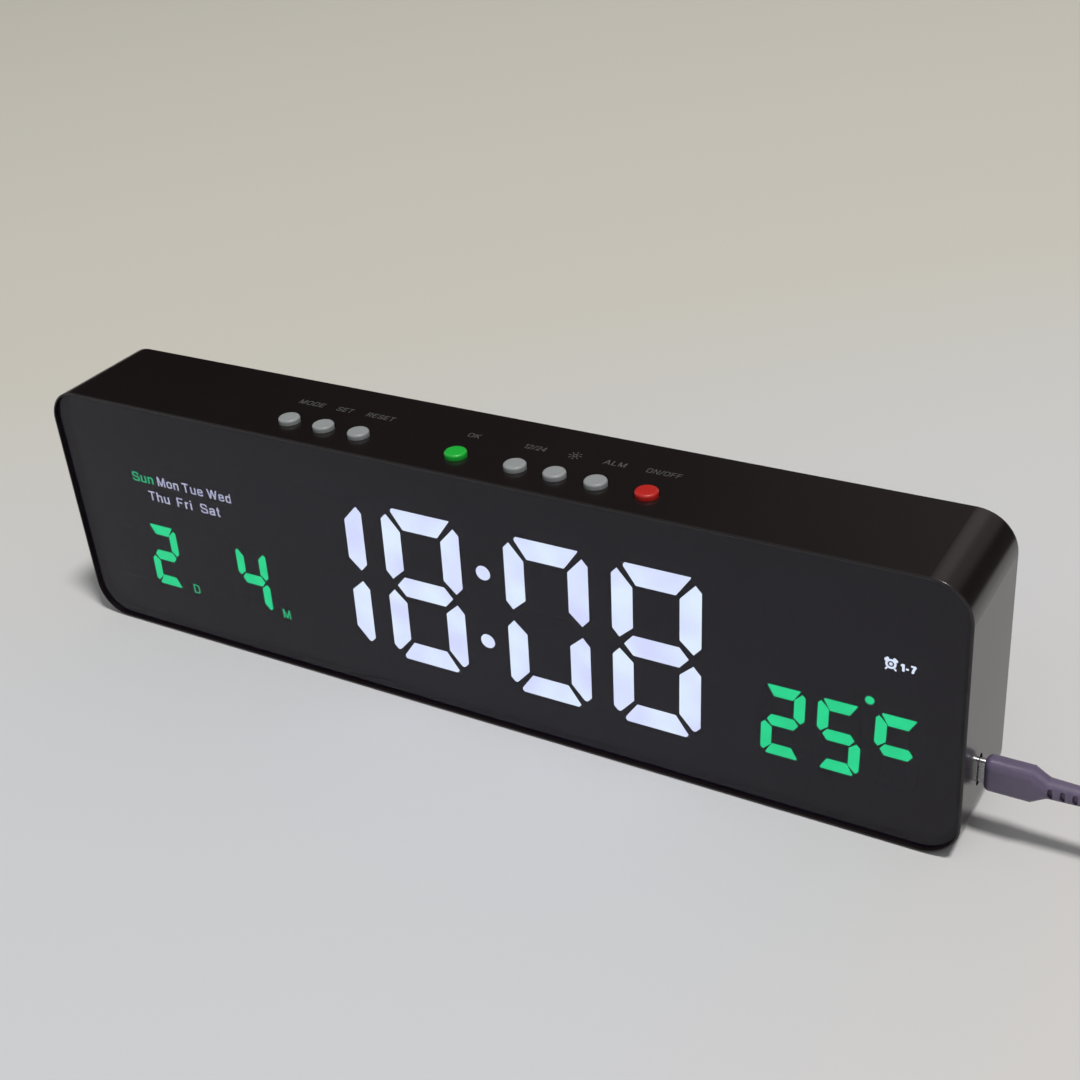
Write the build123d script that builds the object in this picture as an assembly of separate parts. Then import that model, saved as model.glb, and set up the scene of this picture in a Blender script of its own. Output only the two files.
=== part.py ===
from build123d import *
import math
import os

# A low, wide LED desk clock: a one-piece tube-shaped housing with a smoked panel set into its front,
# seven-segment light wells behind the panel, a row of eight push buttons on top and a USB cable at the right.
# Frame, in millimetres: +X to the viewer's right, +Y to the back, +Z up, origin at the middle of the underside.
# A depth is a distance behind the front rim.

# Case
case_width = 320.5
case_depth = 39.2
case_height = 90.0
case_corner = 12.0
case_wall = 2.4
rim_width = 0.7
front_edge_round = 0.4
rear_edge_round = 0.8
cut_overrun = 1.0

# Smoked front panel, set back behind the rim on a ledge
panel_recess = 1.25
panel_thick = 2.0
panel_gap = 0.15

# Light frame, a black block with one well for each segment
panel_light_gap = 0.2
frame_side_gap = 5.85
frame_floor_gap = 5.6
frame_key_gap = 2.0
frame_depth = 7.6
well_gap = 0.1
diffuser_thick = 1.5
window_setback = 0.3
segment_lean_deg = 2.4

# Seven-segment digits: sizes as shares of the case's width and height, strokes and bars as shares of the digit
big_width_share = 0.08955
big_height_share = 0.6322
big_stroke_share = 0.2369
big_bar_share = 0.1248
big_tip_round = 1.0
small_width_share = 0.04025
small_height_share = 0.2733
small_stroke_share = 0.2481
small_bar_share = 0.1545
small_tip_round = 0.4

# Outline of an upright segment, as shares of the stroke and of half the digit's height
upright_shares = ((0.0, 0.838), (0.28, 0.912), (1.0, 0.715), (1.0, 0.218), (0.345, 0.073), (0.0, 0.169))
# Ends of the flat segments, as shares of half the digit's width
bar_outer_share = 0.784
bar_inner_share = 0.442
middle_tip_share = 0.728
middle_flat_share = 0.52

# Places on the panel, as shares of the case's width from its middle and of its height from its underside
time_rise_share = 0.4733
small_rise_share = 0.3256
hour_units_share = -0.0412
time_pitch_share = 0.1136
colon_jump_share = 0.1392
colon_share = 0.0287
colon_spread_share = 0.1406
colon_diameter_share = 0.0556
day_units_share = -0.3903
month_units_share = -0.266
small_pitch_share = 0.05195
temperature_share = 0.3342
degree_share = 0.4134
degree_rise_share = 0.4972
degree_diameter_share = 0.0289

# Windows for the lit words and signs: weekday names, day and month marks, alarm sign
weekday_width_share = 0.03245
weekday_tall_share = 0.0511
weekday_row_shares = (
    (0.6656, (-0.3994, -0.3635, -0.3289, -0.293)),
    (0.5933, (-0.3807, -0.3451, -0.3095)),
)
mark_tall_share = 0.0511
day_mark_share = -0.3548
month_mark_share = -0.2296
mark_rise_share = 0.2022
alarm_width_share = 0.02995
alarm_tall_share = 0.0533
alarm_share = 0.4399
alarm_rise_share = 0.6456

# Circuit board behind the light frame, with its light-emitting diodes and back-side components
board_thick = 1.6
board_overhang = 4.5
board_bottom_rise = 2.0
board_screw_shares = (-0.4618, -0.2091, 0.287, 0.4618)
board_screw_edge = 4.0
led_width = 2.0
led_tall = 1.2
led_high = 0.8
chip_high = 1.8
driver_length = 10.0
driver_width = 6.0
driver_shares = (-0.39, -0.234, 0.2184)
chip_row_share = 0.5
controller_size = 12.0
controller_share = 0.0686
crystal_length = 8.0
crystal_diameter = 3.0
crystal_share = 0.1123
capacitor_diameter = 6.3
capacitor_high = 8.0
capacitor_shares = (0.3994, 0.4306)
buzzer_diameter = 12.0
buzzer_high = 8.5
buzzer_port_diameter = 2.0
buzzer_share = -0.1248
sensor_diameter = 2.4
sensor_share = -0.4306
sensor_rise_share = 0.2222

# Screws, all of one thread size
screw_diameter = 2.5
screw_head_diameter = 4.6
screw_head_high = 1.7
screw_length = 8.0
screw_slot_width = 0.8
screw_slot_deep = 0.8
screw_hole_gap = 0.25

# Push buttons and the key board under the top wall
button_shares = (-0.1981, -0.156, -0.1139, -0.0016, 0.063, 0.1048, 0.147, 0.1978)
button_names = ("mode", "set", "reset", "ok", "hour_format", "brightness", "alarm", "power")
button_depth = 11.0
button_diameter = 7.0
button_proud = 1.6
button_gap = 0.3
button_edge_round = 0.8
button_flange_width = 1.3
button_flange_thick = 1.3
button_flange_gap = 0.3
button_stem_diameter = 3.6
button_stem_long = 1.0
button_travel = 0.5
plunger_diameter = 3.4
plunger_proud = 0.9
plunger_sunk = 1.2
plunger_gap = 0.15
switch_size = 6.0
switch_high = 3.5
key_board_width = 12.4
key_board_thick = 1.6
key_board_edge = 3.5
key_post_diameter = 5.0
key_post_gap = 0.7

# Ribbon from the key board to the main board
ribbon_width = 10.0
ribbon_thick = 0.5
ribbon_bend = 1.6
ribbon_bow = 2.0
ribbon_straight = 1.5
ribbon_plug_high = 4.0
ribbon_plug_tall = 5.0
ribbon_plug_drop = 9.0

# Rear cover with wall-hanging keyholes, sound slots and the cell cup
cover_thick = 2.2
cover_recess = 0.4
cover_gap = 0.2
boss_diameter = 8.0
boss_root = 0.4
boss_key_gap = 3.4
boss_middle_rise = 3.7
head_pocket_gap = 0.4
head_pocket_floor = 1.0
post_diameter = 6.0
post_bore = 3.0
post_shares = (-0.3432, 0, 0.3432)
post_rise_shares = (0.2222, 0.7333)
post_gap = 0.1
keyhole_share = 0.2995
keyhole_rise_share = 0.6222
keyhole_entry_diameter = 8.5
keyhole_neck_width = 4.4
keyhole_neck_long = 8.0
sound_slot_count = 7
sound_slot_pitch = 4.0
sound_slot_width = 1.6
sound_slot_long = 16.0

# Coin cell, its cup in the rear cover and the twist-lock door
cell_diameter = 20.0
cell_thick = 3.2
cell_gap = 0.5
cell_share = 0.1934
cell_rise_share = 0.5
cup_wall = 1.6
cup_floor = 1.4
contact_thick = 0.4
contact_width = 5.0
contact_bow = 0.9
door_thick = 1.8
door_rim_width = 3.0
door_gap = 0.3
door_cell_gap = 0.2
lug_thick = 1.0
lug_long = 1.6
lug_width = 6.0
lug_gap = 0.3
coin_slot_width = 2.0
coin_slot_long = 14.0
coin_slot_deep = 0.9
lead_diameter = 1.2
lead_bend = 4.0
lead_spread = 5.0
lead_cup_drop = 6.0
lead_fall = 9.0

# USB socket in the right wall, standing on its edge, and the plug in it
socket_depth = 15.0
socket_z = 21.9
socket_tall = 8.94
socket_thick = 3.2
socket_wall = 0.3
socket_long = 7.4
socket_inset = 0.4
socket_back = 0.8
tongue_tall = 6.6
tongue_thick = 0.7
tongue_inset = 0.8
port_tall = 10.4
port_thick = 4.6
plug_gap = 0.12
plug_wall = 0.3
plug_shell_long = 7.0
plug_standoff = 1.8
plug_tall = 11.2
plug_thick = 6.2
plug_corner = 2.9
plug_nose_round = 1.8
plug_grip_long = 12.9
plug_taper_long = 4.4
relief_diameter = 6.0
relief_end_diameter = 5.0
relief_long = 16.0
relief_slot_count = 4
relief_slot_first = 0.8
relief_slot_pitch = 3.3
relief_slot_width = 1.4
relief_slot_tall = 3.2
relief_core = 3.0

# Cable: a hanging stretch, then a coil tied up for storage, then the far plug
cord_diameter = 3.8
cord_sides = 8
# Points of the hanging stretch, chosen by hand and measured from the strain relief's end
cord_points = ((0, 0, 0), (11.45, 0, 0), (22.45, -1.7, -4.3), (32.95, -6.2, -12.3))
cord_arc_share = 0.45
floor_gap = 0.2
coil_ahead = 67.0
coil_outer_radius = 26.6
coil_pitch = 4.2
coil_turns_in = 2.75
coil_turns_out = 2.9
coil_steps = 11
coil_climb_steps = 2
coil_entry_deg = -115.0
tail_straight = 8.0
cord_last_run = 13.0
gap_sample = 0.8
tie_thick = 0.6
tie_width = 6.0
tie_slack = 0.4
tie_corner = 2.0
far_plug_ahead = 106.0
far_plug_y = -14.0
far_relief_long = 12.0
far_relief_end_diameter = 5.2
far_grip_long = 30.0
far_grip_width = 15.5
far_grip_thick = 8.0
far_grip_corner = 2.4
far_shell_width = 12.0
far_shell_thick = 4.5
far_shell_long = 12.0
far_shell_wall = 0.4
far_insert_thick = 1.9
far_insert_inset = 0.5

# Worked-out places
front_y = -case_depth / 2
right_x = case_width / 2
inner_top = case_height - case_wall
panel_front = panel_recess
panel_back = panel_recess + panel_thick
light_front = panel_back + panel_light_gap
board_front = light_front + frame_depth
board_back = board_front + board_thick
cover_back = case_depth - cover_recess
cover_front = cover_back - cover_thick
lean = math.tan(math.radians(segment_lean_deg))
button_y = front_y + button_depth
flange_top = inner_top - button_flange_gap
flange_bottom = flange_top - button_flange_thick
stem_bottom = flange_bottom - button_stem_long
switch_top = stem_bottom - plunger_proud
key_board_top = switch_top - switch_high
key_board_bottom = key_board_top - key_board_thick
frame_half_width = case_width / 2 - case_wall - frame_side_gap
frame_bottom = case_wall + frame_floor_gap
frame_top = key_board_bottom - frame_key_gap
chip_row_z = chip_row_share * case_height
buzzer_x = buzzer_share * case_width
cell_x = cell_share * case_width
cell_z = cell_rise_share * case_height
boss_front = button_depth + key_board_width / 2 + boss_key_gap
button_columns = [share * case_width for share in button_shares]
key_post_reach = button_diameter / 2 + button_flange_width + key_post_gap + key_post_diameter / 2
key_post_columns = (
    button_columns[0] - key_post_reach,
    (button_columns[2] + button_columns[3]) / 2,
    (button_columns[3] + button_columns[4]) / 2,
    button_columns[-1] + key_post_reach,
)
ribbon_x = key_post_columns[1]
ribbon_plug_z = frame_top - ribbon_plug_drop
socket_y = front_y + socket_depth
socket_mouth_x = right_x - socket_inset
plug_face_x = right_x + plug_standoff
relief_start_x = plug_face_x + plug_grip_long + plug_taper_long
relief_end_x = relief_start_x + relief_long
coil_centre = (relief_end_x + coil_ahead, 0)
coil_low = cord_diameter / 2 + tie_thick + floor_gap
coil_high = coil_low + coil_pitch
far_plug_x = relief_end_x + far_plug_ahead
far_plug_z = far_grip_thick / 2


def slab(outline, near, far):
    """Solid of an outline drawn in x and z, between two depths behind the front rim."""
    plane = Plane((0, front_y + near, 0), x_dir=(1, 0, 0), z_dir=(0, -1, 0))
    return extrude(plane * outline, amount=far - near, dir=(0, 1, 0))


def rod(x, z, diameter, near, far):
    """Round bar along the depth."""
    return slab(Pos(x, z) * Circle(diameter / 2), near, far)


def along_x(outline, start, end):
    """Solid of an outline drawn in y and z, between two places along x."""
    return extrude(Plane.YZ.offset(start) * outline, amount=end - start)


def upright(x, y, diameter, low, high):
    """Round bar along z."""
    return Pos(x, y, low) * extrude(Circle(diameter / 2), amount=high - low)


def save(shape, name):
    """Write one piece, or one group of like pieces, to its own file."""
    if isinstance(shape, (list, tuple)):
        shape = Compound(children=[solid for item in shape for solid in item.solids()])
    export_step(shape, f"parts/{name}.step")


def case_outline(inset):
    """The case's rounded outline, drawn in by an inset."""
    width = case_width - 2 * inset
    height = case_height - 2 * inset
    return Pos(0, case_height / 2) * RectangleRounded(width, height, case_corner - inset)


# Screws
def screw(x, z, head_depth):
    """Pan-head screw whose head seats at a depth and whose shank points to the front."""
    shank = rod(x, z, screw_diameter, head_depth - screw_length, head_depth)
    head = rod(x, z, screw_head_diameter, head_depth, head_depth + screw_head_high)
    slot = Pos(x, z) * Rectangle(screw_head_diameter, screw_slot_width)
    head_back = head_depth + screw_head_high
    return shank + head - slab(slot, head_back - screw_slot_deep, head_back + cut_overrun)


def rear_screw_places():
    """Four places in the case's corners and two in the middle of its long walls."""
    reach = case_corner - case_wall - boss_diameter / 2 + boss_root
    corner = case_corner - reach * math.sqrt(0.5)
    side = case_width / 2 - corner
    rise = case_wall + boss_middle_rise
    places = [(sign * side, z) for sign in (-1, 1) for z in (corner, case_height - corner)]
    return places + [(0, rise), (0, case_height - rise)]


# Housing: one moulded tube with the panel's ledge, screw bosses, key-board posts and the openings
def make_housing():
    body = slab(case_outline(0), 0, case_depth)
    body = fillet(body.faces().sort_by(Axis.Y)[-1].edges(), rear_edge_round)
    body = fillet(body.faces().sort_by(Axis.Y)[0].edges(), front_edge_round)
    body -= slab(case_outline(rim_width), -cut_overrun, panel_back)
    body -= slab(case_outline(case_wall), panel_back, case_depth + cut_overrun)
    for x, z in rear_screw_places():
        boss = rod(x, z, boss_diameter, boss_front, cover_front)
        body += boss & slab(case_outline(case_wall / 2), 0, case_depth)
    for x, z in rear_screw_places():
        body -= rod(x, z, screw_diameter, cover_front - screw_length, cover_front + cut_overrun)
    for x in key_post_columns:
        body += upright(x, button_y, key_post_diameter, key_board_top, inner_top + case_wall / 2)
    for x in key_post_columns:
        body -= upright(x, button_y, screw_diameter, key_board_top - cut_overrun, inner_top)
    for x in button_columns:
        hole = button_diameter + 2 * button_gap
        body -= upright(x, button_y, hole, inner_top - cut_overrun, case_height + cut_overrun)
    port = Pos(socket_y, socket_z) * SlotOverall(port_tall, port_thick, rotation=90)
    return body - along_x(port, right_x - case_wall - cut_overrun, right_x + cut_overrun)


# Digits
def leaned(points, x, z):
    """Outline of one segment, leaning with its digit, whose middle is at x and z."""
    return Polygon(*[(x + px + pz * lean, z + pz) for px, pz in points], align=None)


def digit_outlines(x, z, width, height, stroke, bar):
    """The seven segments of one digit, by their usual letters."""
    half_width = width / 2
    half_height = height / 2
    half_bar = bar / 2
    outlines = {}
    for letter, side, rise in (("f", -1, 1), ("b", 1, 1), ("e", -1, -1), ("c", 1, -1)):
        points = [
            (side * (half_width - across * stroke), rise * up * half_height) for across, up in upright_shares
        ]
        outlines[letter] = leaned(points, x, z)
    outer = bar_outer_share * half_width
    inner = bar_inner_share * half_width
    for letter, rise in (("a", 1), ("d", -1)):
        edge = rise * half_height
        root = rise * (half_height - bar)
        outlines[letter] = leaned([(-outer, edge), (outer, edge), (inner, root), (-inner, root)], x, z)
    tip = middle_tip_share * half_width
    flat = middle_flat_share * half_width
    points = [(-tip, 0), (-flat, half_bar), (flat, half_bar), (tip, 0), (flat, -half_bar), (-flat, -half_bar)]
    outlines["g"] = leaned(points, x, z)
    return outlines


def big_digit(share):
    width = big_width_share * case_width
    height = big_height_share * case_height
    place = (share * case_width, time_rise_share * case_height)
    return digit_outlines(*place, width, height, big_stroke_share * width, big_bar_share * height)


def small_digit(share):
    width = small_width_share * case_width
    height = small_height_share * case_height
    place = (share * case_width, small_rise_share * case_height)
    return digit_outlines(*place, width, height, small_stroke_share * width, small_bar_share * height)


# What is lit: each entry has the node's name, its digit's place across the case and its lit segments
minute_tens_share = hour_units_share + colon_jump_share
big_groups = (
    ("hour_tens_segments", hour_units_share - time_pitch_share, "bc"),
    ("hour_units_segments", hour_units_share, "abcdefg"),
    ("minute_tens_segments", minute_tens_share, "abcdef"),
    ("minute_units_segments", minute_tens_share + time_pitch_share, "abcdefg"),
)
small_groups = (
    ("unlit_segments", day_units_share - small_pitch_share, ""),
    ("day_segments", day_units_share, "abged"),
    ("unlit_segments", month_units_share - small_pitch_share, ""),
    ("month_segments", month_units_share, "fbgc"),
    ("temperature_segments", temperature_share, "abged"),
    ("temperature_segments", temperature_share + small_pitch_share, "afgcd"),
    ("temperature_segments", temperature_share + 2 * small_pitch_share, "afg"),
)


def disc(share, rise_share, diameter_share):
    """Round light, sized by the case's height."""
    return Pos(share * case_width, rise_share * case_height) * Circle(diameter_share * case_height / 2)


def window(share, rise_share, width, tall):
    return Pos(share * case_width, rise_share * case_height) * Rectangle(width, tall)


def light_outlines():
    """Every lit or unlit outline, as a list for each node with the rounding of its tips."""
    groups = {"unlit_segments": []}
    for digits, make, tip_round in (
        (big_groups, big_digit, big_tip_round),
        (small_groups, small_digit, small_tip_round),
    ):
        for name, share, lit in digits:
            for letter, outline in make(share).items():
                node = name if letter in lit else "unlit_segments"
                groups.setdefault(node, []).append((outline, tip_round if letter != "g" else 0))
    groups["colon_dots"] = []
    for side in (-1, 1):
        shift = side * colon_spread_share * case_height * lean / case_width
        rise = time_rise_share + side * colon_spread_share
        groups["colon_dots"].append((disc(colon_share + shift, rise, colon_diameter_share), 0))
    degree = disc(degree_share, degree_rise_share, degree_diameter_share)
    groups["temperature_segments"].append((degree, 0))
    weekday_size = (weekday_width_share * case_width, weekday_tall_share * case_height)
    windows = [window(share, rise, *weekday_size) for rise, row in weekday_row_shares for share in row]
    mark_size = mark_tall_share * case_height
    windows += [window(share, mark_rise_share, mark_size, mark_size) for share in (day_mark_share, month_mark_share)]
    alarm_size = (alarm_width_share * case_width, alarm_tall_share * case_height)
    windows.append(window(alarm_share, alarm_rise_share, *alarm_size))
    groups["legend_windows"] = [(outline, 0) for outline in windows]
    return groups


def rounded_tips(outline, tip_round):
    """An outline with the tips that lie furthest from the digit's middle rounded."""
    if not tip_round:
        return outline
    middle = case_height * (time_rise_share if tip_round == big_tip_round else small_rise_share)
    tips = outline.vertices().sort_by(lambda vertex: abs(vertex.Y - middle))
    return fillet(tips[-2:] if len(tips) == 4 else tips[-1:], tip_round)


def board_screw_places():
    rows = (frame_bottom + board_screw_edge, frame_top - board_screw_edge)
    return [(share * case_width, z) for share in board_screw_shares for z in rows]


def make_light_frame(groups):
    middle = (frame_bottom + frame_top) / 2
    block = Pos(0, middle) * Rectangle(2 * frame_half_width, frame_top - frame_bottom)
    wells = [offset(outline, well_gap, kind=Kind.INTERSECTION) for group in groups.values() for outline, _ in group]
    body = slab(block - wells, light_front, board_front)
    for x, z in board_screw_places():
        body -= rod(x, z, screw_diameter, board_back - screw_length, board_front + cut_overrun)
    return body


def make_diffusers(group, setback):
    front = light_front + setback
    back = light_front + diffuser_thick
    return [slab(rounded_tips(outline, tip_round), front, back) for outline, tip_round in group]


# Circuit board and what is soldered to it
def make_main_board():
    bottom = frame_bottom + board_bottom_rise
    plate = Rectangle(2 * frame_half_width + board_overhang, frame_top - bottom)
    body = slab(Pos(board_overhang / 2, (bottom + frame_top) / 2) * plate, board_front, board_back)
    for x, z in board_screw_places():
        hole = screw_diameter + 2 * screw_hole_gap
        body -= rod(x, z, hole, board_front - cut_overrun, board_back + cut_overrun)
    return body


def make_leds(groups):
    places = [outline.center() for group in groups.values() for outline, _ in group]
    led = Rectangle(led_width, led_tall)
    return [slab(Pos(place.X, place.Y) * led, board_front - led_high, board_front) for place in places]


def chip(share, width, tall):
    place = Pos(share * case_width, chip_row_z)
    return slab(place * Rectangle(width, tall), board_back, board_back + chip_high)


def make_capacitor(share):
    return rod(share * case_width, chip_row_z, capacitor_diameter, board_back, board_back + capacitor_high)


def make_sensor():
    place = (sensor_share * case_width, sensor_rise_share * case_height)
    return rod(*place, sensor_diameter, board_back, board_back + sensor_diameter)


def make_buzzer():
    can = rod(buzzer_x, chip_row_z, buzzer_diameter, board_back, board_back + buzzer_high)
    top = board_back + buzzer_high
    return can - rod(buzzer_x, chip_row_z, buzzer_port_diameter, top - buzzer_port_diameter, top + cut_overrun)


def make_crystal():
    radius = crystal_diameter / 2
    place = Pos(crystal_share * case_width, front_y + board_back + radius, chip_row_z)
    return extrude(place * Circle(radius), amount=crystal_length / 2, both=True)


# Buttons and key board
def make_button(x):
    cap = upright(x, button_y, button_diameter, flange_top, case_height + button_proud)
    cap = fillet(cap.edges().filter_by(GeomType.CIRCLE).sort_by(Axis.Z)[-1], button_edge_round)
    flange = upright(x, button_y, button_diameter + 2 * button_flange_width, flange_bottom, flange_top)
    stem = upright(x, button_y, button_stem_diameter, stem_bottom, flange_bottom)
    return cap + flange + stem


def make_switch(x):
    middle_z = (key_board_top + switch_top) / 2
    body = Pos(x, button_y, middle_z) * Box(switch_size, switch_size, switch_high)
    bore = plunger_diameter + 2 * plunger_gap
    floor = switch_top - plunger_sunk - button_travel - plunger_gap
    return body - upright(x, button_y, bore, floor, switch_top + cut_overrun)


def make_key_board():
    length = key_post_columns[-1] - key_post_columns[0] + 2 * key_board_edge
    middle_x = (key_post_columns[0] + key_post_columns[-1]) / 2
    middle_z = (key_board_bottom + key_board_top) / 2
    board = Pos(middle_x, button_y, middle_z) * Box(length, key_board_width, key_board_thick)
    for x in key_post_columns:
        hole = screw_diameter + 2 * screw_hole_gap
        board -= upright(x, button_y, hole, key_board_bottom - cut_overrun, key_board_top + cut_overrun)
    return board


def make_key_screw(x):
    """Short pan-head screw that holds the key board up against its post."""
    head = upright(x, button_y, screw_head_diameter, key_board_bottom - screw_head_high, key_board_bottom)
    shank = upright(x, button_y, screw_diameter, key_board_bottom, inner_top - screw_hole_gap)
    slot_top = key_board_bottom - screw_head_high + screw_slot_deep
    slot = Pos(x, button_y, slot_top - screw_slot_deep) * Box(
        screw_head_diameter, screw_slot_width, 2 * screw_slot_deep
    )
    return head + shank - slot


def make_ribbon():
    """Flat ribbon from under the key board down into the socket on the main board, with a bow for slack."""
    y = front_y + board_back + ribbon_plug_high / 2
    bottom = ribbon_plug_z + ribbon_plug_tall / 2
    start = Vector(ribbon_x, y, key_board_bottom)
    points = [
        start,
        Vector(ribbon_x, y, key_board_bottom - ribbon_straight),
        Vector(ribbon_x, y + ribbon_bow, (key_board_bottom + bottom) / 2),
        Vector(ribbon_x, y, bottom + ribbon_straight),
        Vector(ribbon_x, y, bottom),
    ]
    path = FilletPolyline(*points, radius=ribbon_bend)
    section = Plane(start, x_dir=(1, 0, 0), z_dir=(0, 0, -1)) * Rectangle(ribbon_width, ribbon_thick)
    return sweep(section, path=path)


def make_ribbon_socket():
    outline = Pos(ribbon_x, ribbon_plug_z) * Rectangle(ribbon_width + ribbon_thick, ribbon_plug_tall)
    return slab(outline, board_back, board_back + ribbon_plug_high)


# Rear cover, cell and door
door_diameter = cell_diameter + 2 * (cell_gap + door_rim_width)
hub_diameter = cell_diameter
lug_reach = hub_diameter / 2 + lug_long
door_front = cover_back - door_thick
lug_back = door_front - lug_gap - cup_floor
lug_front = lug_back - lug_thick
cell_back = lug_front - door_cell_gap
cell_front = cell_back - cell_thick
cup_inside = cell_front - contact_bow - contact_thick


def lug_outline(reach, width):
    """Bar across the hub, long enough to carry a lug at each end."""
    return Pos(cell_x, cell_z) * Rectangle(2 * reach, width)


def make_rear_cover():
    cup_diameter = cell_diameter + 2 * cell_gap
    cup_outside = door_diameter + 2 * (door_gap + cup_wall)
    body = slab(case_outline(case_wall + cover_gap), cover_front, cover_back)
    body += rod(cell_x, cell_z, cup_outside, cup_inside - cup_floor, cover_front)
    body -= rod(cell_x, cell_z, door_diameter + 2 * door_gap, door_front - lug_gap, cover_back + cut_overrun)
    body -= rod(cell_x, cell_z, cup_diameter, cup_inside, cover_back)
    body -= rod(cell_x, cell_z, 2 * (lug_reach + lug_gap), lug_front - lug_gap, lug_back + lug_gap)
    notch = lug_outline(lug_reach + lug_gap, lug_width + 2 * lug_gap).rotate(
        Axis((cell_x, cell_z, 0), (0, 0, 1)), 90
    )
    body -= slab(notch, lug_front - lug_gap, cover_back)
    for share in post_shares:
        for rise_share in post_rise_shares:
            place = (share * case_width, rise_share * case_height)
            body += rod(*place, post_diameter, board_back + post_gap, cover_front)
            body -= rod(*place, post_bore, board_back, cover_front - cover_thick)
    for x, z in rear_screw_places():
        pocket = screw_head_diameter + 2 * head_pocket_gap
        body -= rod(x, z, pocket, cover_front + head_pocket_floor, cover_back + cut_overrun)
        body -= rod(x, z, screw_diameter + 2 * screw_hole_gap, cover_front - cut_overrun, cover_back)
    for side in (-1, 1):
        place = Pos(side * keyhole_share * case_width, keyhole_rise_share * case_height)
        neck = SlotOverall(keyhole_neck_long + keyhole_neck_width, keyhole_neck_width, rotation=90)
        keyhole = Circle(keyhole_entry_diameter / 2) + Pos(0, keyhole_neck_long / 2) * neck
        body -= slab(place * keyhole, cover_front - cut_overrun, cover_back + cut_overrun)
    first_slot = buzzer_x - sound_slot_pitch * (sound_slot_count - 1) / 2
    for number in range(sound_slot_count):
        slot = SlotOverall(sound_slot_long, sound_slot_width, rotation=90)
        place = Pos(first_slot + number * sound_slot_pitch, chip_row_z)
        body -= slab(place * slot, cover_front - cut_overrun, cover_back + cut_overrun)
    return body


def make_battery_door():
    disc = rod(cell_x, cell_z, door_diameter, door_front, cover_back)
    hub = rod(cell_x, cell_z, hub_diameter, lug_front, door_front)
    lugs = slab(lug_outline(lug_reach, lug_width), lug_front, lug_back)
    lugs &= rod(cell_x, cell_z, 2 * lug_reach, lug_front, lug_back)
    slot = Pos(cell_x, cell_z) * SlotOverall(coin_slot_long, coin_slot_width)
    return disc + hub + lugs - slab(slot, cover_back - coin_slot_deep, cover_back + cut_overrun)


def make_cell_contact():
    """Bowed spring strip between the cup's floor and the cell."""
    half = cell_diameter / 2 - contact_width / 2
    arch = ThreePointArc((-half, 0), (0, contact_bow), (half, 0))
    strip = offset(arch, contact_thick / 2, side=Side.BOTH, closed=True)
    lifted = contact_thick / 2
    plane = Plane((cell_x, front_y + cup_inside + lifted, cell_z), x_dir=(1, 0, 0), z_dir=(0, 0, 1))
    return extrude(plane * make_face(strip), amount=contact_width / 2, both=True)


def make_lead(side):
    """Wire from the cell cup's floor down and forward to the main board."""
    x = cell_x + side * lead_spread
    cup_y = front_y + cup_inside - cup_floor
    board_y = front_y + board_back
    half_y = (cup_y + board_y) / 2
    cup_z = cell_z - lead_cup_drop
    board_z = cup_z - lead_fall
    start = Vector(x, cup_y, cup_z)
    points = [start, Vector(x, half_y, cup_z), Vector(x, half_y, board_z), Vector(x, board_y, board_z)]
    path = FilletPolyline(*points, radius=lead_bend)
    return sweep(Plane(start, z_dir=(0, -1, 0)) * Circle(lead_diameter / 2), path=path)


# USB socket and plug, both standing on edge
def upright_slot(tall, thick):
    return Pos(socket_y, socket_z) * SlotOverall(tall, thick, rotation=90)


def make_socket_shell():
    back_x = socket_mouth_x - socket_long
    body = along_x(upright_slot(socket_tall, socket_thick), back_x, socket_mouth_x)
    inside = upright_slot(socket_tall - 2 * socket_wall, socket_thick - 2 * socket_wall)
    return body - along_x(inside, back_x + socket_back, socket_mouth_x + cut_overrun)


def make_socket_tongue():
    back_x = socket_mouth_x - socket_long + socket_back
    tongue = Pos(socket_y, socket_z) * Rectangle(tongue_thick, tongue_tall)
    return along_x(tongue, back_x, socket_mouth_x - tongue_inset)


def make_plug_shell():
    inset = 2 * (socket_wall + plug_gap)
    tall = socket_tall - inset
    thick = socket_thick - inset
    tip_x = plug_face_x - plug_shell_long
    body = along_x(upright_slot(tall, thick), tip_x, plug_face_x)
    bore = upright_slot(tall - 2 * plug_wall, thick - 2 * plug_wall)
    return body - along_x(bore, tip_x - cut_overrun, plug_face_x - socket_back)


def make_plug_grip():
    """Moulded grip: a flat rounded block that necks down to a slotted strain relief."""
    section = Pos(socket_y, socket_z) * RectangleRounded(plug_thick, plug_tall, plug_corner)
    taper_x = plug_face_x + plug_grip_long
    grip = along_x(section, plug_face_x, taper_x)
    grip = fillet(grip.faces().sort_by(Axis.X)[0].edges(), plug_nose_round)
    neck_start = Plane.YZ.offset(taper_x) * section
    neck_end = Plane.YZ.offset(relief_start_x) * Pos(socket_y, socket_z) * Circle(relief_diameter / 2)
    neck = loft([neck_start, neck_end])
    relief_end = Plane.YZ.offset(relief_end_x) * Pos(socket_y, socket_z) * Circle(relief_end_diameter / 2)
    relief = loft([neck_end, relief_end], ruled=True)
    body = grip + neck + relief
    for number in range(relief_slot_count):
        x = relief_start_x + relief_slot_first + number * relief_slot_pitch
        slot = Pos(x, socket_z) * SlotOverall(relief_slot_tall, relief_slot_width, rotation=90)
        body -= slab(slot, socket_depth - relief_diameter, socket_depth - relief_core / 2)
        body -= slab(slot, socket_depth + relief_core / 2, socket_depth + relief_diameter)
    return body


# Cable
coil_growth = coil_pitch / (2 * math.pi)
coil_angle_in = 2 * math.pi * coil_turns_in
coil_angle_out = 2 * math.pi * coil_turns_out
coil_inner_radius = coil_outer_radius - coil_growth * coil_angle_in


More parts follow.
